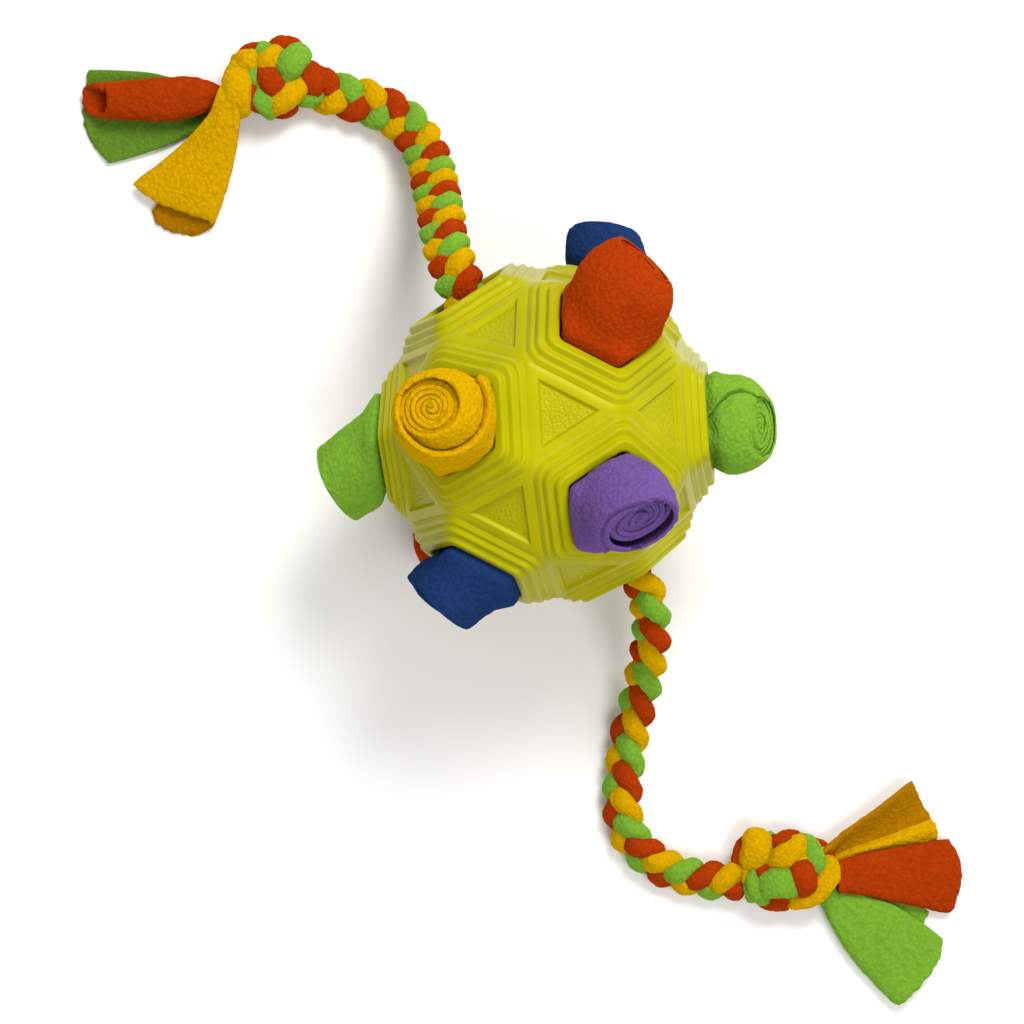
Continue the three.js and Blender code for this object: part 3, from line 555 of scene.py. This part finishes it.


# back= gives the share of a section in painted shade: all of the upper green end, which lies in the others'
# shadow, and the yellow ends where they fold away from the light.
upper_yellow_end = loose_end(
    "upper", "yellow", back=(0.52, 1),
    line=[
        (-0.1068, 0.131, 0.0105), (-0.1111, 0.1238, 0.0125), (-0.1137, 0.1156, 0.0095),
        (-0.1192, 0.1049, 0.0045), (-0.1258, 0.0949, 0.0018), (-0.1315, 0.0875, 0.0001),
    ],
    widths=[0.008, 0.0089, 0.0159, 0.0239, 0.031], rises=[0.7, 0.9, 1, 1, 1],
    section=[
        (-0.5, 0.0038, 0.0048), (-0.17, 0.0052, 0.0044), (0.24, 0.0056, 0.0008),
        (0.47, 0.0049, -0.0018), (0.5, 0.0031, -0.0004), (0.42, 0.0012, 0.0048), (0.2, 0.0011, 0.0088),
        (0.0, 0.0011, 0.0102), (-0.15, 0.0011, 0.008),
    ],
)
upper_orange_end = loose_end(
    "upper", "orange",
    line=[
        (-0.1118, 0.1233, 0.004), (-0.1199, 0.125, 0.0035), (-0.1344, 0.1238, 0.0028),
        (-0.1486, 0.1234, 0.0026), (-0.1613, 0.1233, 0.0026),
    ],
    widths=[0.0044, 0.0124, 0.0145, 0.0126, 0.0112], rises=[0.6, 0.9, 1, 1, 1],
    section=[
        (-0.22, 0.0079, -0.0044), (-0.4, 0.0066, -0.0018), (-0.47, 0.0046, 0.0009),
        (-0.42, 0.0024, 0.0027), (-0.2, 0.0013, 0.0035), (0.2, 0.0012, 0.0027), (0.43, 0.0026, 0),
        (0.5, 0.0052, -0.0027), (0.43, 0.0078, -0.0053), (0.18, 0.0099, -0.0062),
        (-0.12, 0.0103, -0.0062), (-0.36, 0.0094, -0.0053),
    ],
)
upper_green_end = loose_end(
    "upper", "green", back=(0, 1),
    line=[
        (-0.1149, 0.1231, 0.0001), (-0.1263, 0.1216, 0.0001), (-0.1407, 0.1205, 0.0001),
        (-0.1594, 0.1183, 0.0001),
    ],
    widths=[0.0071, 0.0177, 0.0266, 0.0314, 0.0345], rises=[1, 1, 1, 1, 1],
    section=[
        (-0.5, 0.0018, 0.0016), (-0.25, 0.0012, 0.004), (0.05, 0.0011, 0.0053), (0.3, 0.0013, 0.0027),
        (0.5, 0.0019, -0.0019),
    ],
)
lower_yellow_end = loose_end(
    "lower", "yellow", back=(0, 0.66),
    line=[
        (0.1005, -0.148, 0.004), (0.1083, -0.1437, 0.002), (0.1224, -0.1374, 0.0006),
        (0.1366, -0.1308, 0.0001),
    ],
    widths=[0.0062, 0.0106, 0.015, 0.0195, 0.0239], rises=[0.7, 0.8, 0.9, 1, 1],
    section=[
        (0.5, 0.01, 0), (0.3, 0.0062, 0.0004), (0.08, 0.003, 0.0009), (-0.12, 0.0022, 0.0013),
        (-0.24, 0.0036, 0.0018), (-0.3, 0.0046, 0.0018), (-0.38, 0.0034, 0.0018), (-0.5, 0.0014, 0),
    ],
)
lower_orange_end = loose_end(
    "lower", "orange",
    line=[
        (0.1048, -0.1531, 0.0055), (0.1146, -0.1526, 0.0036), (0.1303, -0.1529, 0.0012),
        (0.1471, -0.1535, 0.0001),
    ],
    widths=[0.0111, 0.015, 0.019, 0.023, 0.027], rises=[1, 1, 1, 1, 1],
    section=[
        (0.46, 0.005, -0.0018), (0.2, 0.0062, 0.0018), (-0.1, 0.0064, 0.0027), (-0.47, 0.005, 0),
        (-0.5, 0.0031, -0.0009), (-0.44, 0.0013, -0.0018), (0, 0.0011, 0), (0.44, 0.0012, -0.0035),
    ],
)
lower_green_end = loose_end(
    "lower", "green",
    line=[
        (0.1022, -0.1598, 0.0014), (0.1115, -0.1682, 0.0008), (0.1217, -0.1764, 0.0003),
        (0.1354, -0.1881, 0.0001),
    ],
    widths=[0.008, 0.0164, 0.0239, 0.027, 0.0283], rises=[1, 1, 1, 1, 1],
    section=[
        (0.49, 0.0048, -0.0018), (0.28, 0.0056, 0.0019), (-0.15, 0.0056, 0.003),
        (-0.47, 0.0046, 0.0019), (-0.5, 0.003, 0.0018), (-0.44, 0.0012, 0), (0, 0.0011, -0.0035),
        (0.4, 0.0011, -0.0089), (0.64, 0.0013, -0.0106),
    ],
)


# The ball: one moulding of glossy chartreuse rubber. Twelve flat faces each carry a hole in a
# frame of three rounded steps, and between them twenty three-cornered faces have a sunk panel.
core_corner = 0.0565
rubber_wall = 0.0036
frame_height = 0.0062
hole_half = 0.0144
lean_axis = Vector((math.cos(math.radians(150)), math.sin(math.radians(150)), 0))
ball_lean = Matrix.Rotation(math.radians(3.5), 3, lean_axis)
steep = math.acos(math.sqrt((5 + 2 * math.sqrt(5)) / 15))
shallow = math.acos(math.sqrt((5 - 2 * math.sqrt(5)) / 15))
hole_rings = {"top": steep, "upper": shallow, "lower": math.pi - shallow, "bottom": math.pi - steep}


def facing(polar, azimuth):
    sideways = math.sin(polar)
    return Vector((sideways * math.cos(azimuth), sideways * math.sin(azimuth), math.cos(polar)))


def hole_axis(ring, azimuth):
    return ball_lean @ facing(hole_rings[ring], math.radians(azimuth))


hole_axes = [
    hole_axis(ring, first + third)
    for ring, first in (("top", 63), ("upper", 3), ("lower", 63), ("bottom", 3))
    for third in (0, 120, 240)
]
beside = 0.4  # the least cosine between the axes of two holes that lie side by side
corner_axes, face_axes = [], []
for i, a in enumerate(hole_axes):
    for j in range(i + 1, 12):
        b = hole_axes[j]
        if a.dot(b) < beside:
            continue
        corner_axes.append((a + b).normalized())
        for c in hole_axes[j + 1:]:
            if a.dot(c) > beside and b.dot(c) > beside:
                face_axes.append((a + b + c).normalized())
hole_level = core_corner * corner_axes[0].dot(hole_axes[0])
face_level = core_corner * max(corner_axes[0].dot(axis) for axis in face_axes)
side_middle = hole_level * math.tan(math.acos(corner_axes[0].dot(hole_axes[0]))) * math.cos(math.pi / 5)
panel_middle = face_level * math.tan(math.acos(face_level / core_corner)) / 2
rim_level = hole_level + frame_height

# how far round from one corner to the next the points of a side stand, in degrees
side_angles = [0, 2.2, 4.4, 6.8, 10, 17, 26, 36, 46, 55, 62, 65.2, 67.6, 69.8]


def five_sided(half, corner, angle):
    """How far out a five-sided outline lies in the direction of an angle, from corner to corner."""
    from_corner = (angle + 36) % 72 - 36
    off = math.radians(abs(from_corner))
    straight = half / math.cos(math.radians(36) - off)
    if corner <= 0:
        return straight
    centre = (half - corner) / math.cos(math.pi / 5)
    bend = math.atan2(corner * math.sin(math.pi / 5), centre + corner * math.cos(math.pi / 5))
    if off >= bend:
        return straight
    return centre * math.cos(off) + math.sqrt(max(corner**2 - (centre * math.sin(off)) ** 2, 0))


def axes_along(axis):
    """The directions of a face's own x, y and z, with x towards one of its corners and z outwards."""
    towards = max(corner_axes, key=axis.dot)
    x = (towards - axis * axis.dot(towards)).normalized()
    return Matrix((x, axis.cross(x), axis)).transposed()


def rounded_core(point):
    """Rounds the edges and corners where the core's flat faces meet, as a moulding has them."""
    sharpness = 90
    way = point.normalized()
    reaches = [way.dot(axis) / hole_level for axis in hole_axes]
    reaches += [way.dot(axis) / face_level for axis in face_axes]
    near = max(reaches)
    crowding = sum((reach / near) ** sharpness for reach in reaches if reach > 0.5 * near)
    return point * crowding ** (-1 / sharpness)


inner_share = (core_corner - rubber_wall / (face_level / core_corner)) / core_corner
step_walls = [  # half the width across at the foot, corner radius, height of foot and top
    (0.0235, 0.0064, 0.0, 0.0017), (0.0216, 0.0058, 0.0017, 0.0039), (0.0188, 0.005, 0.0039, frame_height),
]
edge_round = 0.001
foot_round = 0.0003
wall_slope = 0.0003
rim_round = 0.0013
frame_rows = [(side_middle, 0, 0)]  # half the width across, corner radius, height over the core
for half, corner, low, high in step_walls:
    for lean in (0, 30, 60, 90):
        out, up = math.sin(math.radians(lean)), math.cos(math.radians(lean))
        frame_rows.append((half + foot_round * (1 - out), corner, low + foot_round * (1 - up)))
    for lean in (0, 22, 45, 67, 90):
        out, up = math.cos(math.radians(lean)), math.sin(math.radians(lean))
        inset = wall_slope + edge_round * (1 - out)
        frame_rows.append((half - inset, corner - inset / 2, high - edge_round * (1 - up)))
for lean in (0, 22, 45, 67, 90):
    out, up = math.sin(math.radians(lean)), math.cos(math.radians(lean))
    half, height = hole_half + rim_round * (1 - out), frame_height - rim_round * (1 - up)
    frame_rows.append((half, 0.0033 - 0.0006 * out, height))
inner_level = hole_level * (inner_share - 1)
frame_rows += [  # down the hole, under its lip, through the wall and out to the next face's inside
    (hole_half, 0.0025, 0.0042), (hole_half, 0.0025, 0.003), (0.015, 0.0026, 0.0026), (0.0162, 0.003, 0.0026),
    (0.0164, 0.003, 0.0023), (0.0164, 0.003, 0.0), (0.0166, 0.003, inner_level),
    (side_middle * inner_share, 0, inner_level),
]
vertices, faces, panel_faces = [], [], []
for axis in hole_axes:
    turn = axes_along(axis)
    first = len(vertices)
    for half, corner, height in frame_rows:
        for side in range(5):
            for angle in side_angles:
                out = five_sided(half, corner, angle)
                way = math.radians(72 * side + angle)
                point = turn @ Vector((out * math.cos(way), out * math.sin(way), hole_level + height))
                vertices.append(ball_middle + (rounded_core(point) if height == 0 else point))
    faces += ring_faces(first, len(frame_rows), 5 * len(side_angles))
panel_rows = [  # half the width across, height above the core's three-cornered face
    (panel_middle, 0), (0.0097, 0), (0.0092, 0), (0.0086, 0), (0.0079, 0), (0.0068, 0), (0.0065, -0.0001),
    (0.0063, -0.0003), (0.0058, -0.0011), (0.0056, -0.0013), (0.0052, -0.0013),
]
side_steps = [
    0.5 + math.tan(math.radians(angle - 36)) / (2 * math.tan(math.radians(36))) for angle in side_angles
]
ring = 3 * len(side_steps)
for axis in face_axes:
    turn = axes_along(axis)
    for rows, share in ((panel_rows, 1), ([(panel_middle, 0)], inner_share)):
        first = len(vertices)
        for half, height in rows:
            corners = [
                Vector((2 * half * math.cos(way), 2 * half * math.sin(way), face_level + height)) * share
                for way in (0, 2 * math.pi / 3, 4 * math.pi / 3)
            ]
            for side in range(3):
                for step in side_steps:
                    point = turn @ corners[side].lerp(corners[(side + 1) % 3], step)
                    outside_edge = height == 0 and share == 1
                    vertices.append(ball_middle + (rounded_core(point) if outside_edge else point))
        faces += ring_faces(first, len(rows), ring)
        last = first + (len(rows) - 1) * ring
        vertices.append(ball_middle + turn @ Vector((0, 0, (face_level + rows[-1][1]) * share)))
        for k in range(ring):
            fan = (last + k, last + (k + 1) % ring, len(vertices) - 1)
            if share == 1:
                panel_faces.append(len(faces))
            faces.append(fan if share == 1 else fan[::-1])


def chartreuse_rubber(name):
    rubber, shader = new_finish(name, 0.3)
    shader.inputs["Specular IOR Level"].default_value = 0.15
    shader.inputs["Specular Tint"].default_value = (1, 0.97, 0.3, 1)
    cloudy = mottle(rubber, 55, 3)
    paint = tone(rubber, cloudy, 0.3, 0.7, (0.34, 0.325, 0.001), (0.40, 0.38, 0.0015))
    rubber.node_tree.links.new(paint, shader.inputs["Base Color"])
    return rubber, cloudy


glossy_rubber, cloudy = chartreuse_rubber("glossy_rubber")
relief(glossy_rubber, cloudy, 0.25, 0.0003)
pebbled_rubber, cloudy = chartreuse_rubber("pebbled_rubber")
relief(pebbled_rubber, pebbles(pebbled_rubber, 1000, 0.4), 0.9, 0.0004, sunk_where_high=True)

rubber_ball = new_piece("rubber_ball", vertices, faces, [glossy_rubber, pebbled_rubber])
for number in panel_faces:
    rubber_ball.data.polygons[number].material_index = 1
weld = rubber_ball.modifiers.new("one_moulding", "WELD")
weld.merge_threshold = 0.00002
even_shine = rubber_ball.modifiers.new("even_shine", "WEIGHTED_NORMAL")
even_shine.weight = 60
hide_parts("ball_shell")


# The rolls: ten fleece strips, each wound up tight and pushed into a hole, which squeezes it to its
# own five-sided shape. Outside it swells again, and its last turns close in round the cut end.
inner_end = 0.030  # how far a roll's hidden end lies from the ball's middle
rim_along = rim_level - inner_end
neck = 0.0172
swell = 0.009  # how far above the rim a roll has its own round shape again
over_the_rim = 0.0027
turn_thickness = 0.0021
turn_half = 0.495 * turn_thickness  # leaves a hair's breadth between the turns
eye = 0.0006  # the middle of the first turn
eye_turns = 0.35
line_steps = 120
in_hole = [0, 0.35, 0.7, 0.93]  # rows of points as shares of the way up to the rim
exposed_rows = 24
near_cut = [(0.0006, 1), (0.00025, 0.94), (0.00006, 0.84), (0, 0.64)]  # below the cut, and how thick
cut_zone = 0.0015
flap_thins = 0.45


def bezier_line(a, b, c, d):
    line = []
    for i in range(line_steps + 1):
        t = i / line_steps
        line.append(a * (1 - t) ** 3 + b * (3 * t * (1 - t) ** 2) + c * (3 * t * t * (1 - t)) + d * t**3)
    return line


def smooth_step(low, high, value):
    share = min(max((value - low) / (high - low), 0), 1)
    return share * share * (3 - 2 * share)


def rolled_strip(colour, place, axis, end, tilt, heading, widest, end_radius, core, groove, sunk, slide,
                 slide_turns, seam, shift=0, shift_to=0, oval=0.05, oval_to=0, column_step=0.0008):
    """A strip wound from the middle out, from inside its hole to a cut end that faces by tilt and heading.

    core is the tight winding's radius and groove the gap round it; sunk is how far it lies below the outer
    turns. The last turn stops at seam, and slides back by slide over its slide_turns. The core is off centre
    by shift and oval by a share. Angles are in degrees."""
    start, end = axis * inner_end, Vector(end)
    end_faces = facing(math.radians(tilt), math.radians(heading))
    before_end = end - end_faces * ((end - start).length / 4)
    line = bezier_line(start, axis * (rim_level + 0.003), before_end, end)
    travelled = distances(line)
    length = travelled[-1]
    turn = axes_along(axis).transposed()
    shoulder = rim_along + 0.35 * (length - rim_along)

    def frame_along(along):
        along = min(along, length * 0.9999)
        k = min(int(along / length * line_steps), line_steps - 1)
        while travelled[k] > along:
            k -= 1
        while travelled[k + 1] <= along:
            k += 1
        share = (along - travelled[k]) / (travelled[k + 1] - travelled[k])
        ahead = tangent_at(line, k).lerp(tangent_at(line, k + 1), share).normalized()
        left = Vector((0, 0, 1)).cross(ahead).normalized()
        return line[k].lerp(line[k + 1], share), left, ahead.cross(left)

    def outer_radius(along):
        radius = neck + (widest - neck) * smooth_step(rim_along, rim_along + 0.009, along)
        past = max((along - shoulder) / (length - shoulder), 0)
        return radius - (widest - end_radius) * past**2.6

    def squeezed(point, outermost):
        """Keeps the turns inside the hole, each by its share."""
        local = turn @ outermost
        if local.z > rim_level + swell:
            return point
        room = five_sided(hole_half - 0.0001, 0.0028, math.degrees(math.atan2(local.y, local.x)) % 360)
        room += over_the_rim * smooth_step(rim_level - rim_round, rim_level + 0.0035, local.z)
        fit = room / math.hypot(local.x, local.y)
        spread = 0.004 if fit < 1 else swell
        fit += (1 - fit) * smooth_step(rim_level + 0.0004, rim_level + spread, local.z)
        level = point.dot(axis)
        return axis * level + (point - axis * level) * fit

    inner_turns = (core - eye) / turn_thickness + eye_turns
    outer_turns = (widest - turn_thickness / 2 - core - groove) / turn_thickness
    turns = inner_turns + outer_turns

    def out_at(n):
        """How far from the middle the strip lies after n turns."""
        past = max(n - inner_turns, 0)
        wound = eye + turn_thickness * max(min(n, inner_turns) - eye_turns, 0) + turn_thickness * past
        return wound + groove * smooth_step(0, 0.8, past)

    stations, n = [], 0.0
    while n < turns:
        stations.append(n)
        spacing = column_step if turns - n < 1.4 else 1.8 * column_step
        n += spacing / (2 * math.pi * max(out_at(n), 0.0016))
    stations.append(turns)
    vertices, faces = [], []
    for n in stations:
        past = max(n - inner_turns, 0)
        angle = math.radians(seam) - 2 * math.pi * (turns - n)
        top = length - sunk * (1 - smooth_step(0, 0.7, past))
        top += 0.0004 * math.sin(n * 2.1) + 0.0004 * math.sin(angle * 2 + n)
        top -= slide * max(1 - (turns - n) / slide_turns, 0)
        stops = [(rim_along * share, 1) for share in in_hole]
        for j in range(exposed_rows + 1):
            stops.append((rim_along + (top - cut_zone - rim_along) * j / exposed_rows, 1))
        stops += [(top - back, thin) for back, thin in near_cut]
        flap = flap_thins if n == turns else 1
        for along, thin in stops:
            middle, left, up = frame_along(along)
            radius = outer_radius(along)
            at_end = smooth_step(rim_along, length, along)
            inward = at_end * (1 - smooth_step(0, outer_turns * 0.8, past))
            stretch = 1 + inward * oval * math.cos(2 * (angle - math.radians(oval_to)))
            way = left * math.cos(angle) + up * math.sin(angle)
            outermost = middle + way * radius
            swollen = smooth_step(rim_along, rim_along + 0.01, along)
            lumpy = 1 + 0.05 * noise.noise(outermost * 75) * swollen
            shift_way = left * math.cos(math.radians(shift_to)) + up * math.sin(math.radians(shift_to))
            off = shift_way * (shift * inward)
            for face in (1, -1):
                if face == -1 and turns - n < 1:
                    thin = 1
                out = (out_at(n) + face * turn_half * thin * flap) * radius / widest * stretch * lumpy
                point = squeezed(middle + off + way * out, outermost)
                if turns - n < 1.3 and face == 1:
                    point += way * (nub_height(point) * at_end ** 0.3)
                vertices.append(ball_middle + above_table(point))
    rows = len(in_hole) + exposed_rows + 1 + len(near_cut)
    for i in range(len(stations) - 1):
        for j in range(rows - 1):
            a = 2 * (i * rows + j)
            b = a + 2 * rows
            faces += [(a, a + 2, b + 2, b), (a + 1, b + 1, b + 3, a + 3)]
        for j in (0, rows - 1):
            a = 2 * (i * rows + j)
            side = (a, a + 2 * rows, a + 2 * rows + 1, a + 1)
            faces.append(side if j == 0 else side[::-1])
    for i in (0, len(stations) - 1):
        for j in range(rows - 1):
            a = 2 * (i * rows + j)
            side = (a, a + 1, a + 3, a + 2)
            faces.append(side if i == 0 else side[::-1])
    roll = new_piece(f"rolled_{colour}_{place}", vertices, faces, [fleece[colour]])
    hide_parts(f"roll_{colour}_{place}")


rolled_strip(
    "yellow", "top", hole_axis("top", 183), end=(-0.0391, 0.0032, 0.0675), tilt=22, heading=140,
    widest=0.0172, end_radius=0.0124, core=0.0112, groove=0.0014, sunk=0.0019,
    slide=0.014, slide_turns=0.5, seam=150, shift=0.0008, shift_to=270, oval=0.04, oval_to=90,
)
rolled_strip(
    "orange", "top", hole_axis("top", 63), end=(0.0287, 0.0513, 0.05), tilt=71, heading=47,
    widest=0.0174, end_radius=0.0122, core=0.0135, groove=0.0001, sunk=0.0002,
    slide=0.002, slide_turns=0.3, seam=280,
)
rolled_strip(
    "purple", "top", hole_axis("top", 303), end=(0.0272, -0.0335, 0.059), tilt=56, heading=296,
    widest=0.0166, end_radius=0.0135, core=0.0096, groove=0.002, sunk=0.0024,
    slide=0.003, slide_turns=0.4, seam=205, shift=0.0012, shift_to=60, oval=0.14, oval_to=10,
)
rolled_strip(
    "green", "right", hole_axis("upper", 3), end=(0.07, 0.0007, 0.017), tilt=57, heading=0,
    widest=0.0175, end_radius=0.012, core=0.0136, groove=0.0004, sunk=0.0008,
    slide=0.021, slide_turns=0.23, seam=105, oval=0.06, oval_to=0,
)
rolled_strip(
    "blue", "front", hole_axis("upper", 243), end=(-0.0378, -0.0578, 0.012), tilt=99, heading=233,
    widest=0.0148, end_radius=0.0137, core=0.0125, groove=0.0003, sunk=0.0006,
    slide=0.0022, slide_turns=0.3, seam=130,
)
rolled_strip(
    "green", "left", hole_axis("lower", 183), end=(-0.0704, -0.0169, -0.013), tilt=108, heading=208,
    widest=0.0154, end_radius=0.015, core=0.011, groove=0.0006, sunk=0.0012,
    slide=0.003, slide_turns=0.3, seam=270,
)
rolled_strip(
    "blue", "back", hole_axis("lower", 63), end=(0.0195, 0.07, -0.018), tilt=100, heading=84,
    widest=0.015, end_radius=0.0128, core=0.011, groove=0.0006, sunk=0.0012,
    slide=0.003, slide_turns=0.3, seam=250,
)
rolled_strip(
    "yellow", "under", hole_axis("bottom", 3), end=(0.0485, -0.002, -0.0596), tilt=128, heading=0,
    widest=0.0156, end_radius=0.0136, core=0.0105, groove=0.0006, sunk=0.001,
    slide=0.006, slide_turns=0.4, seam=70, column_step=0.0013,
)
rolled_strip(
    "orange", "under", hole_axis("bottom", 243), end=(-0.0388, -0.0378, -0.0588), tilt=124, heading=203,
    widest=0.0145, end_radius=0.0122, core=0.0105, groove=0.0006, sunk=0.001,
    slide=0.004, slide_turns=0.3, seam=300, oval=0.05, oval_to=60, column_step=0.0013,
)
rolled_strip(
    "purple", "under", hole_axis("bottom", 123), end=(-0.029, 0.039, -0.0604), tilt=132, heading=124,
    widest=0.0156, end_radius=0.0136, core=0.009, groove=0.0014, sunk=0.0014,
    slide=0.006, slide_turns=0.4, seam=10, shift=0.001, shift_to=90, oval=0.1, oval_to=30, column_step=0.0013,
)
